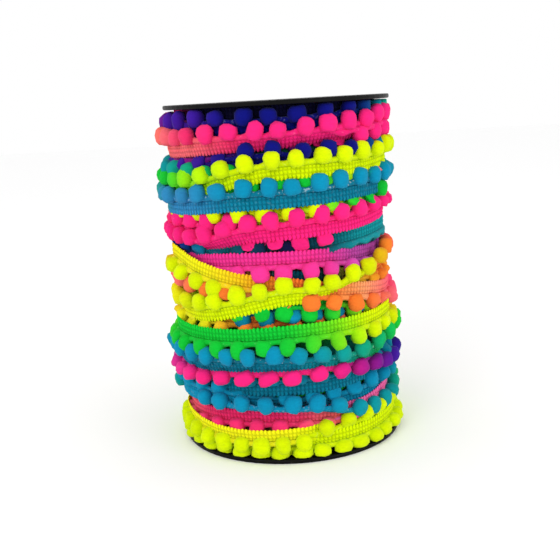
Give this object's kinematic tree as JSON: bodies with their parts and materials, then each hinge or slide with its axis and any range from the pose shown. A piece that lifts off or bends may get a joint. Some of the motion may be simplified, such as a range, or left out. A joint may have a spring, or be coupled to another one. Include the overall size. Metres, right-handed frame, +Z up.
{
  "type": "roll of pompom trim",
  "caption": "Roll of rainbow-dyed pompom trim: knitted tape edged with small round pompoms, wound in crossing turns between thin black discs.",
  "frame": {"origin": "middle of the bottom disc's underside, on which the roll stands", "axes": "+Z up along the roll's axis; -Y is the side modelled from the picture"},
  "size_m": [0.1144, 0.1146, 0.159],
  "materials": {
    "black_plastic": "satin black",
    "trim_yarn": "velvety acrylic yarn, dyed in turn pink, orange, yellow, green, cyan, blue and violet"
  },
  "bodies": {
    "root": {"flange_bottom": "black_plastic", "flange_top": "black_plastic", "wound_trim": "trim_yarn"}
  },
  "joints": []
}
